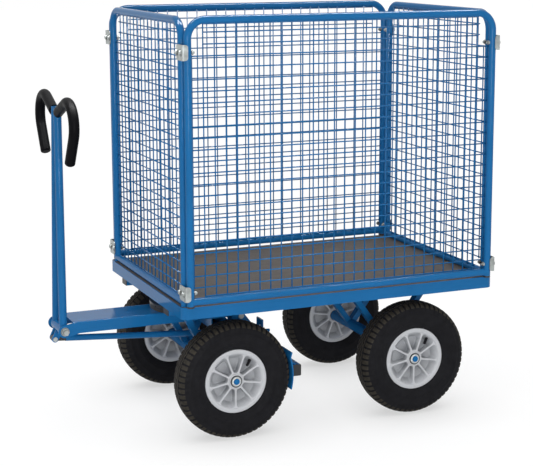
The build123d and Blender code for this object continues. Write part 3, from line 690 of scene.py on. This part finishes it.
def wires_of(node):
    """Direction, start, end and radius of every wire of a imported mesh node."""
    mesh = bmesh.new()
    mesh.from_mesh(nodes[node].data)
    bmesh.ops.remove_doubles(mesh, verts=mesh.verts, dist=point_fit)
    seen = set()
    found = []
    for vert in mesh.verts:
        if vert in seen:
            continue
        group = []
        waiting = [vert]
        seen.add(vert)
        while waiting:
            current = waiting.pop()
            group.append(current.co.copy())
            for edge in current.link_edges:
                other = edge.other_vert(current)
                if other not in seen:
                    seen.add(other)
                    waiting.append(other)
        low = Vector([min(co[i] for co in group) for i in range(3)])
        high = Vector([max(co[i] for co in group) for i in range(3)])
        along = max(range(3), key=lambda i: high[i] - low[i])
        start = (low + high) / 2
        end = start.copy()
        start[along] = low[along]
        end[along] = high[along]
        found.append((along, start, end, min(high[i] - low[i] for i in range(3)) / 2))
    mesh.free()
    return found


def make_wires():
    for name in panels:
        found = wires_of(f"mesh_{name}")
        mesh = bmesh.new()
        uprights = [wire for wire in found if wire[0] == upright_axis]
        levels = [wire for wire in found if wire[0] != upright_axis]
        for _, start, end, radius in found:
            sink = (end - start).normalized() * wire_sink
            tube(mesh, [start - sink, end + sink], [radius + wire_grow] * 2, wire_sides)
        for across, left, right, _ in levels:
            for _, low, high, _ in uprights:
                if left[across] <= low[across] <= right[across] and low.z <= left.z <= high.z:
                    spot = (Vector((low.x, low.y, left.z)) + left) / 2
                    spot[across] = low[across]
                    blob = Matrix.Translation(spot) @ Matrix.Scale(nugget, 4)
                    bmesh.ops.create_icosphere(mesh, subdivisions=1, radius=1, matrix=blob)
        data = finished(mesh, f"wires_{name}")
        wires = piece(f"wires_{name}", data, "chassis", "blue_paint")
        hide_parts(f"mesh_{name}")


# Stage: white room with a pale floor that keeps the soft shadow, and a painted contact shadow in the
# floor's glow near the wheels

floor_size = 60.0
floor_shade = 0.7
floor_glow = 0.81
floor_seen = 0.28
floor_rough = 0.9
# Painted contact shadow in the floor's glow: how far it reaches, its darkest shade, where it is darkest,
# its samples
contact_reach = 0.25
contact_shade = 0.72
contact_full = 0.4
contact_samples = 16
room_low = 0.66
room_high = 0.28
room_rise = 0.6
key_light = 1.35
key_softness = 100
key_from = Vector((-0.1, 0.1, 1.0))
front_lamp = {
    "place": Vector((-1.6, -5.0, 1.0)),
    "aim": Vector((0.0, 0.0, 0.5)),
    "size": (2.6, 1.2),
    "power": 100,
}
top_lamp = {
    "place": Vector((0.0, -0.2, 5.0)),
    "aim": Vector((0.0, -0.2, 0.7)),
    "size": (6.0, 1.4),
    "power": 1400,
}


def seen_ray(tree):
    """One for what the camera sees, straight, mirrored or through glass, and nought for other light."""
    path = tree.nodes.new("ShaderNodeLightPath")
    total = path.outputs["Is Camera Ray"]
    for name in ("Is Glossy Ray", "Is Transmission Ray"):
        most = tree.nodes.new("ShaderNodeMath")
        most.operation = "MAXIMUM"
        tree.links.new(total, most.inputs[0])
        tree.links.new(path.outputs[name], most.inputs[1])
        total = most.outputs["Value"]
    return total


def make_floor():
    mesh = bmesh.new()
    half = floor_size / 2
    outline = ((-half, -half), (half, -half), (half, half), (-half, half))
    mesh.faces.new([mesh.verts.new((x, y, 0)) for x, y in outline])
    data = bpy.data.meshes.new("floor")
    mesh.to_mesh(data)
    mesh.free()
    floor = put("floor", data)
    surface = Surface("floor", (floor_shade,) * 3, floor_rough, specular=0.0)
    # Painted contact shadow: the floor's glow darkens where ambient occlusion finds the wheels close by
    contact = surface.add("ShaderNodeAmbientOcclusion", samples=contact_samples)
    contact.inputs["Distance"].default_value = contact_reach
    white = surface.add("ShaderNodeEmission")
    white.inputs["Strength"].default_value = floor_glow
    shade = surface.ramp(contact.outputs["AO"], [(contact_full, (contact_shade,) * 3), (1.0, (1, 1, 1))])
    surface.join(shade, white.inputs["Color"])
    shaded = surface.add("ShaderNodeBsdfDiffuse")
    shaded.inputs["Color"].default_value = (*(floor_seen,) * 3, 1)
    pale = surface.add("ShaderNodeAddShader")
    choice = surface.add("ShaderNodeMixShader")
    surface.join(shaded.outputs["BSDF"], pale.inputs[0])
    surface.join(white.outputs["Emission"], pale.inputs[1])
    surface.join(seen_ray(surface.tree), choice.inputs["Fac"])
    surface.join(surface.shader.outputs["BSDF"], choice.inputs[1])
    surface.join(pale.outputs["Shader"], choice.inputs[2])
    surface.join(choice.outputs["Shader"], surface.tree.nodes["Material Output"].inputs["Surface"])
    data.materials.append(surface.material)


def make_room():
    world = bpy.data.worlds.new("room")
    scene.world = world
    world.use_nodes = True
    tree = world.node_tree
    light = tree.nodes["Background"]
    light.inputs["Color"].default_value = (1, 1, 1, 1)
    place = tree.nodes.new("ShaderNodeTexCoord")
    parts = tree.nodes.new("ShaderNodeSeparateXYZ")
    level = tree.nodes.new("ShaderNodeMapRange")
    level.inputs["From Min"].default_value = 0.0
    level.inputs["From Max"].default_value = room_rise
    level.inputs["To Min"].default_value = room_low
    level.inputs["To Max"].default_value = room_high
    tree.links.new(place.outputs["Generated"], parts.inputs["Vector"])
    tree.links.new(parts.outputs["Z"], level.inputs["Value"])
    tree.links.new(level.outputs["Result"], light.inputs["Strength"])
    seen = tree.nodes.new("ShaderNodeBackground")
    seen.inputs["Color"].default_value = (1, 1, 1, 1)
    seen.inputs["Strength"].default_value = 1.0
    mix = tree.nodes.new("ShaderNodeMixShader")
    tree.links.new(seen_ray(tree), mix.inputs["Fac"])
    tree.links.new(light.outputs["Background"], mix.inputs[1])
    tree.links.new(seen.outputs["Background"], mix.inputs[2])
    tree.links.new(mix.outputs["Shader"], tree.nodes["World Output"].inputs["Surface"])


def make_key():
    lamp = bpy.data.lights.new("key", "SUN")
    lamp.energy = key_light
    lamp.angle = radians(key_softness)
    key = put("key", lamp)
    key.rotation_mode = "QUATERNION"
    key.rotation_quaternion = key_from.to_track_quat("Z", "Y")


def make_lamp(name, place, aim, size, power):
    lamp = bpy.data.lights.new(name, "AREA")
    lamp.shape = "RECTANGLE"
    lamp.size, lamp.size_y = size
    lamp.energy = power
    thing = put(name, lamp)
    thing.location = place
    thing.rotation_mode = "QUATERNION"
    thing.rotation_quaternion = (aim - place).to_track_quat("-Z", "Y")
    return thing


make_camera()
make_floor()
make_room()
make_key()
make_lamp("front_lamp", **front_lamp)
make_lamp("top_lamp", **top_lamp).visible_diffuse = False
dress_nodes()
make_tyres()
make_rims()
make_collars()
make_valves()
make_wires()

scene.view_settings.view_transform = "Standard"
